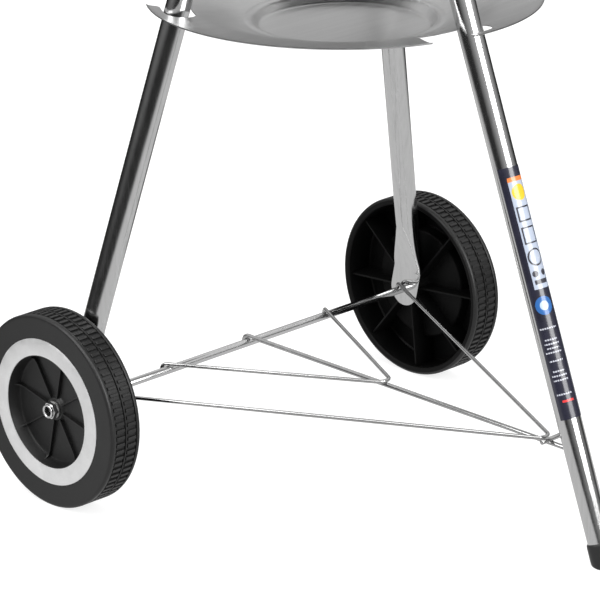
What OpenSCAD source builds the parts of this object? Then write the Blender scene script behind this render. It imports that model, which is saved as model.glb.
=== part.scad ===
// Kettle charcoal grill on three tube legs: two wheels, a wire rack, a twist-off ash tray, a bowl with
// a vent sweeper, two grates and a lift-off lid.
// +Z is up and Z = 0 is the ground. The axle runs along X, the single front leg is towards -Y.

/* [Legs] */
// Outer diameter of the leg tubes
leg_d = 25; // [22:0.5:27]
// Wall of the leg tubes
leg_wall = 1.2; // [1:0.1:2]
// Distance from the kettle axis at which every leg passes the tray
leg_tray_r = 171; // [168:1:174]
// Distance from the kettle axis to the front foot
front_foot_r = 357; // [345:1:370]
// Distance from the kettle axis at which a wheel leg would meet the ground
rear_foot_r = 317; // [310:1:324]
// Angle of the wheel legs from the X axis
rear_leg_angle = 30.4; // [29:0.1:32]
// Height of the tops of the leg tubes
leg_top_z = 598; // [590:1:602]
// Width of the flattened lower end of a wheel leg
tab_w = 39; // [36:1:42]
// Thickness of the flattened lower end
tab_t = 2.6; // [2.4:0.1:3]
// Height of the plastic cap on the front foot
foot_h = 23; // [18:1:30]

/* [Wheels and axle] */
// Outer diameter of a wheel
wheel_d = 203; // [198:1:205]
// Width of a wheel
wheel_w = 39; // [36:1:42]
// Distance from the middle of the axle to the inner plane of a wheel
wheel_x = 244; // [243:0.5:248]
// Distance of the axle behind the kettle axis
axle_y = 147.6; // [146:0.2:149]
// Diameter of the axle
axle_d = 8.5; // [8:0.5:9]
// Outer diameter of the silver ring on a wheel
trim_outer_d = 154.4; // [150:0.2:158]
// Inner diameter of the silver ring on a wheel
trim_inner_d = 118.6; // [116:0.2:122]

/* [Wire rack] */
// Diameter of the bent wires
wire_d = 4; // [3.5:0.5:4.5]
// Diameter of the middle wire
center_wire_d = 5; // [4.5:0.5:5.5]
// Distance of the outer hooks from the middle
outer_hook_x = 233.5; // [231:0.5:234]
// Distance of the inner hooks from the middle
inner_hook_x = 119; // [110:1:128]
// Distance of the outer wire's bend in front of the kettle axis
outer_bend_y = 276; // [270:1:278]
// Distance of the inner wire's bend in front of the kettle axis
inner_bend_y = 58; // [50:1:70]
// Length of the short stop bar
stop_bar_len = 31; // [26:1:36]

/* [Ash tray] */
// Outer diameter of the tray
tray_d = 398; // [394:1:402]
// Height of the tray's flat top
tray_z = 505; // [500:0.5:510]
// Sheet thickness of the tray
tray_t = 1.2; // [1:0.1:1.6]
// Depth of the round dish in the middle
dish_depth = 12; // [8:1:16]
// Outer diameter of the dish
dish_d = 194; // [180:2:210]

/* [Bowl and lid] */
// Outer diameter of the bowl at its rim
bowl_d = 570; // [566:1:574]
// Depth of the bowl
bowl_depth = 205; // [203:1:207]
// Height of the lowest point of the bowl
bowl_z = 585; // [584:1:588]
// Height of the lid's dome
dome_h = 175; // [172:1:178]
// Sheet thickness of the bowl and the lid
sheet_t = 1.2; // [1:0.1:1.5]

/* [Hidden] */
$fn = 96;

eps = 0.5;                 // how far a cutting tool runs past the face it cuts
gap = 0.3;                 // space between parts of different bodies
fit = 0.05;                // radial clearance of a turning shaft

leg_r = leg_d / 2;
front_slope = (front_foot_r - leg_tray_r) / tray_z;
rear_slope = (rear_foot_r - leg_tray_r) / tray_z;
front_tilt = atan(front_slope);
FRONT = -90;               // directions of the three legs round the kettle axis
RIGHT = rear_leg_angle;
LEFT = 180 - rear_leg_angle;
LEGS = [FRONT, RIGHT, LEFT];

wheel_r = wheel_d / 2;
axle_z = wheel_r;
axle_r = axle_d / 2;

bowl_r = bowl_d / 2;
bowl_R = (bowl_r * bowl_r + bowl_depth * bowl_depth) / (2 * bowl_depth);
bowl_cz = bowl_z + bowl_R;
rim_z = bowl_z + bowl_depth;
bead_r = 3;
lid_z = rim_z + bead_r + gap;
dome_r = bowl_r + 1;
dome_R = (dome_r * dome_r + dome_h * dome_h) / (2 * dome_h);
dome_cz = lid_z + dome_h - dome_R;
dome_z = lid_z + dome_h;
skirt_r = bowl_r + 8.2;
skirt_h = 11.5;

foot_r = leg_r + 1.5;
foot_reach = front_foot_r + foot_r / cos(front_tilt);
kettle_y = (foot_reach - skirt_r) / 2;    // puts the origin under the middle of the whole grill

// ---- helpers ----

// Everything is drawn round the kettle axis and moved into the part's frame here.
module in_frame() translate([0, kettle_y, 0]) children();

// Lays a shape drawn along +Z on the line from p to q.
module between(p, q) {
    d = q - p;
    translate(p) rotate([0, acos(d[2] / norm(d)), atan2(d[1], d[0])]) children();
}

module rod(p, q, d) between(p, q) cylinder(h = norm(q - p), d = d);

function unit(v) = v / norm(v);

// The corner at point i of a route p, rounded to radius r.
function corner(p, i, r) =
    let (u = unit(p[i - 1] - p[i]), v = unit(p[i + 1] - p[i]), half = acos(u * v) / 2,
         c = p[i] + unit(u + v) * r / sin(half), x = unit(p[i] + u * r / tan(half) - c),
         y = cross(unit(cross(x, p[i] + v * r / tan(half) - c)), x))
    [for (k = [0 : 6]) let (a = (180 - 2 * half) * k / 6) c + r * (x * cos(a) + y * sin(a))];

// A route with its inner corners rounded to the radii r, and the direction at each of its points.
function rounded(p, r) = concat([p[0]], [for (i = [1 : len(p) - 2]) each corner(p, i, r[i - 1])],
    [p[len(p) - 1]]);
function heading(q, i) = unit(
    (i > 0 ? unit(q[i] - q[i - 1]) : [0, 0, 0]) + (i < len(q) - 1 ? unit(q[i + 1] - q[i]) : [0, 0, 0]));

// No wire runs along this direction, so it sets where each ring of a swept wire starts.
REF = [1, 0.3, 0.5];
WIRE_SIDES = 12;

function wire_ring(q, i, d) =
    let (t = heading(q, i), x = unit(cross(t, REF)), y = cross(t, x))
    [for (k = [0 : WIRE_SIDES - 1]) let (a = 360 * k / WIRE_SIDES) q[i] + d / 2 * (x * cos(a) + y * sin(a))];

// A bent wire of diameter d swept along the points p, with bends of radius r[i].
module wire(p, d, r) {
    q = rounded(p, r);
    n = WIRE_SIDES;
    last = (len(q) - 1) * n;
    polyhedron(
        points = [for (i = [0 : len(q) - 1]) each wire_ring(q, i, d)],
        faces = concat([[for (k = [0 : n - 1]) k]], [[for (k = [n - 1 : -1 : 0]) last + k]],
            [for (i = [0 : len(q) - 2], k = [0 : n - 1])
                [i * n + k, (i + 1) * n + k, (i + 1) * n + (k + 1) % n, i * n + (k + 1) % n]]));
}

module tube(h, od, id) difference() {
    cylinder(h = h, d = od);
    translate([0, 0, -eps]) cylinder(h = h + 2 * eps, d = id);
}

module hexagon(flats, h) cylinder(h = h, r = flats / sqrt(3), $fn = 6);

module mirror_x() {
    children();
    mirror([1, 0, 0]) children();
}

function polar(r, a, z) = [r * cos(a), r * sin(a), z];
function polar2(r, a) = [r * cos(a), r * sin(a)];

// A point on a leg's centre line at height z.
function leg_at(a, z) = polar(
    a == FRONT ? front_foot_r - front_slope * z : rear_foot_r - rear_slope * z, a, z);

function arc(c, r, a0, a1, n) = [for (i = [0 : n])
    c + r * [cos(a0 + (a1 - a0) * i / n), sin(a0 + (a1 - a0) * i / n)]];

// ---- legs ----

socket_z = 556;            // lower end of a leg socket
socket_bolt_z = 577;
socket_od = 30;
bolt_d = 6;

module leg_socket(a) difference() {
    between(leg_at(a, socket_z), leg_at(a, bowl_z + 60)) tube(80, socket_od, leg_d + 0.4);
    translate([0, 0, bowl_cz]) sphere(r = bowl_R);
    socket_bolt_hole(a);
}

// The bolt through a socket and its leg lies level, square to the leg.
module across_socket(a) translate(leg_at(a, socket_bolt_z)) rotate([0, 0, a]) rotate([-90, 0, 0]) children();

module socket_bolt_hole(a) across_socket(a)
    translate([0, 0, -socket_od]) cylinder(h = 2 * socket_od, d = bolt_d + 0.3);

module socket_bolt(a) across_socket(a) {
    translate([0, 0, -19]) cylinder(h = 39, d = bolt_d);
    translate([0, 0, -19.5]) hexagon(10, 4.2);
    translate([0, 0, 15.3]) hexagon(10, 5);
}

module leg_tube(a, z0) difference() {
    rod(leg_at(a, z0), leg_at(a, leg_top_z), leg_d);
    rod(leg_at(a, z0 - 5), leg_at(a, leg_top_z + 5), leg_d - 2 * leg_wall);
    socket_bolt_hole(a);
}

module front_leg_socket() in_frame() color("#9fa3a6") leg_socket(FRONT);
module left_leg_socket() in_frame() color("#9fa3a6") leg_socket(LEFT);
module right_leg_socket() in_frame() color("#9fa3a6") leg_socket(RIGHT);
module socket_bolts() in_frame() color("silver") for (a = LEGS) socket_bolt(a);

flat_top_z = 168;          // where the round tube starts to be flattened
tab_top_z = 131;           // where the flat tab starts
tab_outer_x = wheel_x - 4.5;
tab_mid_x = tab_outer_x - tab_t / 2;
tab_top_y = leg_at(RIGHT, tab_top_z)[1];
tab_lean = atan((axle_y - tab_top_y) / (tab_top_z - axle_z));

// The flat tab, with a round end about the axle, drawn for the +X side.
module tab_plate() {
    h = (tab_top_z - axle_z) / cos(tab_lean);
    translate([tab_mid_x - tab_t / 2, axle_y, axle_z]) rotate([90, 0, 90]) linear_extrude(tab_t)
        rotate(tab_lean) {
            circle(d = tab_w);
            translate([-tab_w / 2, 0]) square([tab_w, h]);
        }
}

// The stretch where the tube is pressed flat: its outline from the side cut by its outline from the front.
// Its top lies a little inside the tube, and 6 mm up it, so that the faces cross cleanly.
module flattening() {
    top = leg_at(RIGHT, flat_top_z + 6);
    half_x = leg_r - 0.7;
    half_y = leg_r - 1.6;
    intersection() {
        rotate([90, 0, 0]) linear_extrude(800, center = true) polygon([
            [tab_mid_x - tab_t / 2, tab_top_z - 1], [tab_mid_x + tab_t / 2, tab_top_z - 1],
            [top[0] + half_x, top[2]], [top[0] - half_x, top[2]]]);
        rotate([90, 0, 90]) linear_extrude(400) polygon([
            [tab_top_y - tab_w / 2 + 0.3, tab_top_z - 1], [tab_top_y + tab_w / 2 - 0.3, tab_top_z - 1],
            [top[1] + half_y, top[2]], [top[1] - half_y, top[2]]]);
    }
}

module wheel_leg(right) mirror([right ? 0 : 1, 0, 0]) difference() {
    union() {
        leg_tube(RIGHT, flat_top_z);
        flattening();
        tab_plate();
    }
    translate([tab_mid_x - 10, axle_y, axle_z]) rotate([0, 90, 0]) cylinder(h = 20, r = axle_r + 0.1);
}

module left_leg() in_frame() color("silver") wheel_leg(false);
module right_leg() in_frame() color("silver") wheel_leg(true);

rack_z = axle_z + axle_r + 0.1 + center_wire_d / 2;      // centre of the middle wire, lying on the axle

module front_leg() in_frame() color("silver") difference() {
    leg_tube(FRONT, 3);
    // the hole in the rear wall that takes the rack's middle wire
    translate(leg_at(FRONT, rack_z)) rotate([-90, 0, 0]) cylinder(h = 30, d = center_wire_d + 0.4);
    ground_cut();
}

module ground_cut() translate([-500, -500, -60]) cube([1000, 1000, 62.5]);

module front_foot() in_frame() color("#1b1b1c") difference() {
    rod(leg_at(FRONT, -10), leg_at(FRONT, foot_h), 2 * foot_r);
    // pocket for the tube, leaving a thick sole
    difference() {
        rod(leg_at(FRONT, -10), leg_at(FRONT, foot_h + 5), leg_d + 0.1);
        ground_cut();
    }
    translate([-60, -500, -40]) cube([120, 500, 40]);
}

label_z = [141, 377];      // heights between which the label wraps the front leg
label_t = 0.3;
SEAM = [20, 85];           // edges of the bare strip round the tube, in degrees

module leg_label() in_frame() color("#232a3d") difference() {
    between(leg_at(FRONT, label_z[0]), leg_at(FRONT, label_z[1]))
        tube(norm(leg_at(FRONT, label_z[1]) - leg_at(FRONT, label_z[0])),
             leg_d + 0.2 + 2 * label_t, leg_d + 0.2);
    // the strip where the two edges of the wrap don't meet, at the left rear
    between(leg_at(FRONT, label_z[0] - 5), leg_at(FRONT, label_z[1])) linear_extrude(300)
        polygon([[0, 0], polar2(40, SEAM[0]), polar2(48, (SEAM[0] + SEAM[1]) / 2), polar2(40, SEAM[1])]);
}

// ---- axle, wheels ----

nut_x = wheel_x + 29;      // inner face of an axle nut
axle_end = nut_x + 6.6;    // the axle ends inside the nut's collar

module axle() in_frame() color("silver")
    translate([-axle_end, axle_y, axle_z]) rotate([0, 90, 0]) cylinder(h = 2 * axle_end, r = axle_r);

module on_axle(x) translate([x, axle_y, axle_z]) rotate([0, 90, 0]) children();

module axle_washers() in_frame() color("silver") mirror_x() {
    on_axle(tab_outer_x + 0.1) tube(1.4, 20, axle_d + 0.2);
    on_axle(nut_x - 1.6) tube(1.5, 18, axle_d + 0.2);
}

module axle_nuts() in_frame() color("silver") mirror_x() on_axle(nut_x) difference() {
    union() {
        hexagon(16, 5.5);
        cylinder(h = 8.4, d = 14.6);
    }
    translate([0, 0, -eps]) cylinder(h = 10, d = axle_d + 0.02);
}

hub_x = [-2.5, 27];        // ends of the hub, from the wheel's inner plane
web_x = [12, 15];          // the disc between hub and rim
hub_r = 13;
recess_r = trim_inner_d / 2 - 0.8;
drum_t = 3;
tread_t = 8;
rib_t = 3;
trim_depth = 1;
trim_gap = 0.05;

// Half section of the moulded wheel: [radius, distance from the inner plane].
module wheel_section() {
    r1 = wheel_r - tread_t;
    s = wheel_w;
    polygon(concat(
        [[r1, 0.6]], arc([wheel_r - 4, 4.6], 4, -90, 0, 8), arc([wheel_r - 5, s - 5], 5, 0, 90, 8),
        [[trim_outer_d / 2 + trim_gap, s], [trim_outer_d / 2 + trim_gap, s - trim_depth],
         [trim_inner_d / 2 - trim_gap, s - trim_depth], [trim_inner_d / 2 - trim_gap, s], [recess_r, s],
         [recess_r, web_x[1]], [hub_r, web_x[1]], [hub_r, hub_x[1]], [axle_r + fit, hub_x[1]],
         [axle_r + fit, hub_x[0]], [hub_r, hub_x[0]], [hub_r, web_x[0]],
         [recess_r + drum_t, web_x[0]], [recess_r + drum_t, s - 4], [r1, s - 4]]));
}

// The ribs lie rib_turn degrees round from the vertical, towards the back.
module wheel_body(rib_turn) {
    rotate_extrude($fn = 180) wheel_section();
    for (i = [0 : 7]) rotate(180 - rib_turn + 45 * i) {
        // ribs behind the web, out to the tread
        translate([hub_r - 1, -rib_t / 2, 3]) cube([recess_r - hub_r + 2, rib_t, web_x[0] - 2]);
        translate([recess_r + 1, -rib_t / 2, 3])
            cube([wheel_r - tread_t - recess_r, rib_t, wheel_w - 6]);
        // ribs in the recess of the outer face
        translate([hub_r - 1, -rib_t / 2, web_x[1] - 1]) cube([recess_r - hub_r + 2, rib_t, 9]);
    }
}

module wheel_at(right) mirror([right ? 0 : 1, 0, 0]) on_axle(wheel_x) children();

module left_wheel() in_frame() color("#1d1d1f") wheel_at(false) wheel_body(32.2);
module right_wheel() in_frame() color("#1d1d1f") wheel_at(true) wheel_body(4.7);

module trim_ring() translate([0, 0, wheel_w - trim_depth + trim_gap])
    tube(trim_depth - trim_gap, trim_outer_d, trim_inner_d);
module left_wheel_trim() in_frame() color("#b9bbbd") wheel_at(false) trim_ring();
module right_wheel_trim() in_frame() color("#b9bbbd") wheel_at(true) trim_ring();

// ---- wire rack ----

hook_drop = axle_r + 2.5;  // how far a hook reaches below the axle's centre line

// A wire's hooked end over the axle: the first two points of its route.
function hook(x, d) = let (y = axle_y + axle_r + d / 2 + 0.1) [
    [x, y, axle_z - hook_drop], [x, y, axle_z + axle_r + d / 2 + 0.1]];

bend_r = 10;               // bend at the point of a V

function hook_bend(d) = axle_r + d / 2 + 0.1;

// A V of wire: hook, arm, rounded bend, arm, hook. Its point lies on the middle wire.
module v_wire(hook_x, bend_y) {
    half = atan(hook_x / (axle_y + bend_y));
    point = [0, -bend_y - bend_r / sin(half) + bend_r, rack_z + center_wire_d / 2 + wire_d / 2];
    left = hook(-hook_x, wire_d);
    h = hook_bend(wire_d);
    wire(concat(hook(hook_x, wire_d), [point, left[1], left[0]]), wire_d, [h, bend_r, h]);
}

module rack_outer_wire() in_frame() color("silver") v_wire(outer_hook_x, outer_bend_y);
module rack_inner_wire() in_frame() color("silver") v_wire(inner_hook_x, inner_bend_y);

module rack_center_wire() in_frame() color("silver")
    wire(concat(hook(0, center_wire_d), [[0, leg_at(FRONT, rack_z)[1] + 2, rack_z]]), center_wire_d,
         [hook_bend(center_wire_d)]);

module rack_stop_bar() in_frame() color("silver")
    translate([0, -284, rack_z + center_wire_d / 2 + 2.4]) rotate([0, 90, 0])
        cylinder(h = stop_bar_len, d = center_wire_d, center = true);

// ---- ash tray ----

tray_r = tray_d / 2;
lip_h = 5;                 // how far the tray's edge is turned up
lip_w = 6;
slot_inner_r = leg_tray_r - leg_r / cos(front_tilt) - 3;
slot_outer_r = leg_tray_r + leg_r / cos(front_tilt) + 1.5;
mouth = [-19.5, -5.2];     // the slot's way out through the edge, in degrees from the leg
slot_end = 3.4;            // centre of the slot's round closed end, in degrees from the leg

// The tray's sheet as a band of even thickness: the upper line, then the same line lower down.
module tray_section() {
    dish_r = dish_d / 2;
    step = 9;              // width of the sloping wall of the dish
    top = [[0, tray_z - dish_depth], [dish_r - step - 3, tray_z - dish_depth],
        [dish_r - step, tray_z - dish_depth + 2], [dish_r - 3, tray_z + 0.4], [dish_r + 1, tray_z + 1.6],
        [dish_r + 6, tray_z + 0.4], [dish_r + 9, tray_z], [tray_r - lip_w, tray_z],
        [tray_r - 2, tray_z + 2], [tray_r, tray_z + lip_h]];
    polygon(concat(top, [for (i = [len(top) - 1 : -1 : 0]) top[i] - [0, tray_t]]));
}

// A ring sector from radius r0 to r1 between the angles a0 and a1.
module sector(r0, r1, a0, a1) polygon(concat(
    arc([0, 0], r1, a0, a1, 12), arc([0, 0], r0, a1, a0, 12)));

module leg_slot() {
    mid = (slot_inner_r + slot_outer_r) / 2;
    sector(slot_inner_r, slot_outer_r, mouth[0], slot_end);
    sector(slot_outer_r - 1, tray_r + 5, mouth[0], mouth[1]);
    rotate(slot_end) translate([mid, 0]) circle(d = slot_outer_r - slot_inner_r);
}

module ash_tray() in_frame() color("#c3c5c7") difference() {
    rotate_extrude($fn = 240) tray_section();
    for (a = LEGS) rotate(a) translate([0, 0, tray_z - 10]) linear_extrude(30) leg_slot();
}

// ---- bowl and vent sweeper ----

vent_r = [34, 88];         // inner and outer radius of the ash slots
vent_span = 42;            // angle that each slot takes
shaft_d = 8;
lever_open = -62;          // direction of the lever with the vents open
lever_swing = 60;
lever_z = 566;

module vent_slots() for (i = [0 : 2]) rotate(120 * i + 30)
    sector(vent_r[0], vent_r[1], -vent_span / 2, vent_span / 2);

module bowl() in_frame() color("#16181a") {
    difference() {
        translate([0, 0, bowl_cz]) difference() {
            sphere(r = bowl_R);
            sphere(r = bowl_R - sheet_t);
        }
        translate([-400, -400, rim_z]) cube([800, 800, 600]);
        translate([0, 0, bowl_z - 20]) linear_extrude(60) vent_slots();
        translate([0, 0, bowl_z - 20]) cylinder(h = 60, d = shaft_d + 2 * fit);
        for (x = [1, -1], y = [1, -1]) side_bolt_hole(x, y);
    }
    // rolled edge
    translate([0, 0, rim_z]) rotate_extrude($fn = 180)
        translate([bowl_r - 0.4, 0]) circle(r = bead_r, $fn = 32);
}

blade_gap = 0.35;

module vent_blades() in_frame() color("#9fa3a6") difference() {
    intersection() {
        translate([0, 0, bowl_cz]) difference() {
            sphere(r = bowl_R - sheet_t - blade_gap);
            sphere(r = bowl_R - sheet_t - blade_gap - 1.5);
        }
        translate([0, 0, bowl_z - 20]) linear_extrude(60) {
            circle(r = 24);
            for (i = [0 : 2]) rotate(120 * i + 30 - lever_swing)
                sector(20, vent_r[1] + 3, -vent_span / 2 - 3, vent_span / 2 + 3);
        }
    }
    translate([0, 0, bowl_z - 20]) cylinder(h = 60, d = shaft_d);
}

module vent_shaft() in_frame() color("#9fa3a6") {
    translate([0, 0, lever_z - 4]) cylinder(h = bowl_z + 12 - lever_z, d = shaft_d);
    translate([0, 0, bowl_z + sheet_t + blade_gap + 1.6]) cylinder(h = 6, d = 18);
}

lever_r = 196;

module vent_lever() in_frame() color("#9fa3a6") difference() {
    rotate(lever_open) translate([0, 0, lever_z]) linear_extrude(3) {
        circle(d = 26);
        translate([0, -7]) square([lever_r, 14]);
    }
    translate([0, 0, lever_z - 5]) cylinder(h = 20, d = shaft_d);
}

module vent_lever_grip() in_frame() color("#1b1b1c") rotate(lever_open)
    difference() {
        translate([lever_r - 46, 0, lever_z + 1.5]) rotate([0, 90, 0]) {
            cylinder(h = 66, d = 20);
            translate([0, 0, 66]) sphere(d = 20);
        }
        translate([lever_r - 60, -7.05, lever_z - 0.05]) cube([60.05, 14.1, 3.1]);
    }

// ---- side handles ----

handle_z = 764;
handle_out = 44;           // how far the grip stands off the bowl
handle_half = 56;          // half the space between the two plates
plate_t = 3;
grip_d = 25;
bowl_wall_r = sqrt(bowl_R * bowl_R - (bowl_cz - handle_z) * (bowl_cz - handle_z));
grip_x = bowl_wall_r + handle_out;

// The hole for the screw that holds a handle plate's foot to the bowl.
module side_bolt_hole(sx, sy) translate([sx * (bowl_wall_r - 30), sy * (handle_half + 14), handle_z])
    rotate([0, sx * 90, 0]) cylinder(h = 60, d = 5.2);

module handle_bracket(right) mirror([right ? 0 : 1, 0, 0]) difference() {
    for (s = [1, -1]) {
        translate([0, s * (handle_half + plate_t / 2), handle_z]) rotate([90, 0, 0])
            linear_extrude(plate_t, center = true) {
                translate([grip_x, 0]) circle(d = 30);
                polygon([[bowl_wall_r - 25, -20], [bowl_wall_r - 25, 20],
                    [grip_x + 3, 14.7], [grip_x + 3, -14.7]]);
            }
        // foot that lies against the bowl
        intersection() {
            translate([0, 0, bowl_cz]) sphere(r = bowl_R + plate_t);
            translate([bowl_wall_r - 40, s * (handle_half + 13), handle_z]) rotate([0, 90, 0])
                linear_extrude(60) square([36, 26], center = true);
        }
    }
    translate([0, 0, bowl_cz]) sphere(r = bowl_R);
    for (s = [1, -1]) side_bolt_hole(1, s);
    translate([grip_x, -100, handle_z]) rotate([-90, 0, 0]) cylinder(h = 200, d = bolt_d + 0.3);
}

module left_handle_bracket() in_frame() color("#9fa3a6") handle_bracket(false);
module right_handle_bracket() in_frame() color("#9fa3a6") handle_bracket(true);

// A turned grip, thicker in the middle, drawn along Z with both ends at +-half.
module grip(half) difference() {
    rotate_extrude() polygon(concat([[0, -half], [grip_d / 2 - 4, -half]],
        arc([grip_d / 2 - 4, -half + 3], 3, -90, 0, 6),
        [[grip_d / 2, -half / 3], [grip_d / 2, half / 3]],
        arc([grip_d / 2 - 4, half - 3], 3, 0, 90, 6), [[0, half]]));
    translate([0, 0, -half - eps]) cylinder(h = 2 * half + 2 * eps, d = bolt_d + 0.3);
}

module side_grip(right) translate([(right ? 1 : -1) * grip_x, 0, handle_z]) rotate([90, 0, 0])
    grip(handle_half - 0.1);
module left_handle_grip() in_frame() color("#1b1b1c") side_grip(false);
module right_handle_grip() in_frame() color("#1b1b1c") side_grip(true);

// A long bolt through plates and grip, with its head and nut, centred on the origin along Z.
module through_bolt(half) {
    translate([0, 0, -half - 4]) cylinder(h = 2 * half + 8, d = bolt_d);
    for (s = [1, -1]) translate([0, 0, s * (half + 0.05) - (s < 0 ? 4 : 0)]) hexagon(10, 4);
}

module side_handle_bolts() in_frame() color("silver") mirror_x() {
    translate([grip_x, 0, handle_z]) rotate([90, 0, 0]) through_bolt(handle_half + plate_t);
    for (s = [1, -1]) {
        y = s * (handle_half + 14);
        // x of the bowl's outer face at this screw
        x = sqrt(bowl_R * bowl_R - (bowl_cz - handle_z) * (bowl_cz - handle_z) - y * y);
        translate([x, y, handle_z]) rotate([0, 90, 0]) {
            translate([0, 0, -8]) cylinder(h = 14, d = 5);
            translate([0, 0, 5.6]) cylinder(h = 3, d = 10);
            translate([0, 0, -8.2]) hexagon(8, 4);
        }
    }
}

// ---- grates ----

cook_z = rim_z - 27;       // height of the cooking grate's ring
cook_R = 262;
grate_wire = 5;
loop_y = 247;              // place and height of the cooking grate's lifting loops
loop_h = 20;
coal_R = 211;
coal_ring_d = 6;
// the lower outer corner of the ring rests just clear of the bowl
coal_edge_r = coal_R + coal_ring_d / 2;
coal_z = bowl_cz - sqrt(pow(bowl_R - sheet_t - gap, 2) - coal_edge_r * coal_edge_r) + coal_ring_d / 2;

cross_inset = 9;           // the rods under a grate stop short of its edge, clear of the bowl

// Parallel rods welded across a ring, on a few rods that run the other way.
module grate(R, z, ring_d, rod_d, pitch, cross) translate([0, 0, z]) {
    rotate_extrude($fn = 120) translate([R - ring_d / 2, -ring_d / 2]) square(ring_d);
    n = floor((R - 6) / pitch);
    for (i = [-n : n]) {
        half = sqrt(R * R - i * i * pitch * pitch) - 1;
        translate([i * pitch, 0, 0]) rotate([90, 0, 0]) cylinder(h = 2 * half, d = rod_d, center = true);
    }
    for (y = cross) {
        half = sqrt(R * R - y * y) - cross_inset;
        translate([0, y, -rod_d + 1]) rotate([0, 90, 0]) cylinder(h = 2 * half, d = rod_d, center = true);
    }
}

module charcoal_grate() in_frame() color("#8d8f91") grate(coal_R, coal_z, coal_ring_d, 5, 20, [-110, 110]);

module cooking_grate() in_frame() color("#b4b6b8") {
    grate(cook_R, cook_z, grate_wire, 4, 15.6, [-140, 0, 140]);
    // two lifting loops
    for (s = [1, -1]) wire([[-32, s * loop_y, cook_z], [-28, s * (loop_y + 2), cook_z + loop_h],
        [28, s * (loop_y + 2), cook_z + loop_h], [32, s * loop_y, cook_z]], 4, [6, 6]);
}

bracket_w = 22;
bracket_t = 1.5;

module grate_brackets() in_frame() color("#8d8f91") for (i = [0 : 3]) rotate(45 + 90 * i)
    intersection() {
        translate([0, 0, bowl_cz]) sphere(r = bowl_R - sheet_t);
        translate([256, -bracket_w / 2, cook_z - grate_wire / 2 - gap - bracket_t - 1]) union() {
            cube([30, bracket_w, bracket_t + 1]);
            translate([0, 0, -22]) intersection() {
                cube([30, bracket_w, 23]);
                translate([-256, bracket_w / 2, bowl_cz - cook_z + grate_wire / 2 + gap + bracket_t + 23])
                    difference() {
                        sphere(r = bowl_R);
                        sphere(r = bowl_R - sheet_t - bracket_t);
                    }
            }
        }
    }

// ---- lid ----

damper_tilt = 27;          // angle of the damper's axis from vertical, towards the front
damper_r = 56;
damper_hole_d = 21;
damper_pcd = 66;

// Moves to the lid's surface at the damper, with +Z out of the lid.
module at_damper() translate([0, 0, dome_cz]) rotate([damper_tilt, 0, 0])
    translate([0, 0, dome_R]) children();

module damper_holes() for (i = [0 : 3]) rotate(45 + 90 * i) translate([damper_pcd / 2, 0, -30])
    cylinder(h = 60, d = damper_hole_d);

rivet_d = 6.5;

module lid() in_frame() color("#16181a") {
    difference() {
        translate([0, 0, dome_cz]) difference() {
            sphere(r = dome_R);
            sphere(r = dome_R - sheet_t);
        }
        translate([-400, -400, lid_z - 700]) cube([800, 800, 700]);
        at_damper() {
            damper_holes();
            translate([0, 0, -30]) cylinder(h = 60, d = rivet_d);
        }
        for (x = LID_SCREWS) translate([x, 0, dome_z - 30]) cylinder(h = 60, d = 5.2);
    }
    // step that rests on the bowl's edge, and the skirt outside it
    translate([0, 0, lid_z]) rotate_extrude($fn = 180) {
        translate([dome_r - sheet_t, 0]) square([skirt_r - dome_r + sheet_t, sheet_t]);
        translate([skirt_r - sheet_t, sheet_t - skirt_h]) square([sheet_t, skirt_h]);
    }
}

module lid_damper() in_frame() color("#c3c5c7") difference() {
    union() {
        intersection() {
            translate([0, 0, dome_cz]) difference() {
                sphere(r = dome_R + gap + 1.4);
                sphere(r = dome_R + gap);
            }
            at_damper() translate([0, 0, -20]) cylinder(h = 40, r = damper_r);
        }
        // turned-up tab
        at_damper() translate([damper_r - 13, -9, -3]) cube([1.6, 18, 15]);
    }
    translate([0, 0, dome_cz]) sphere(r = dome_R + gap);
    at_damper() {
        damper_holes();
        translate([0, 0, -30]) cylinder(h = 60, d = rivet_d + 2 * fit);
    }
}

module damper_rivet() in_frame() color("silver") at_damper() {
    translate([0, 0, -4]) cylinder(h = 7, d = rivet_d);
    translate([0, 0, 2.2]) cylinder(h = 2.4, d = 15);
    translate([0, 0, -5.5]) cylinder(h = 4, d = 13);
}

LID_SCREWS = [-34, 34];
lid_grip_z = dome_z + 60;
lid_half = 54;

module lid_handle_bracket() in_frame() color("#9fa3a6") difference() {
    for (s = [1, -1]) {
        // upright plate
        translate([s * (lid_half + plate_t / 2), 0, 0]) rotate([90, 0, 90])
            linear_extrude(plate_t, center = true) {
                translate([0, lid_grip_z]) circle(d = 28);
                translate([-14, dome_z - 15]) square([28, lid_grip_z - dome_z + 15]);
            }
        // foot that lies on the dome
        intersection() {
            translate([0, 0, dome_cz]) sphere(r = dome_R + plate_t);
            translate([s * 38, 0, dome_z - 30]) linear_extrude(60) square([34, 28], center = true);
        }
    }
    translate([0, 0, dome_cz]) sphere(r = dome_R);
    for (x = LID_SCREWS) translate([x, 0, dome_z - 30]) cylinder(h = 60, d = 5.2);
    translate([-100, 0, lid_grip_z]) rotate([0, 90, 0]) cylinder(h = 200, d = bolt_d + 0.3);
}

SHIELD_R = 85;             // radius to which the heat shield is bent
shield_t = 1;

module lid_heat_shield() in_frame() color("#b9bbbd")
    translate([0, 0, dome_z + 6]) rotate([90, 0, 90]) linear_extrude(2 * lid_half - 0.2, center = true)
        polygon(concat(arc([0, 15 - SHIELD_R], SHIELD_R, 120, 60, 12),
            arc([0, 15 - SHIELD_R], SHIELD_R - shield_t, 60, 120, 12)));

module lid_handle_grip() in_frame() color("#1b1b1c")
    translate([0, 0, lid_grip_z]) rotate([0, 90, 0]) grip(lid_half - 0.1);

module lid_handle_bolt() in_frame() color("silver")
    translate([0, 0, lid_grip_z]) rotate([0, 90, 0]) through_bolt(lid_half + plate_t);

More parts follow.
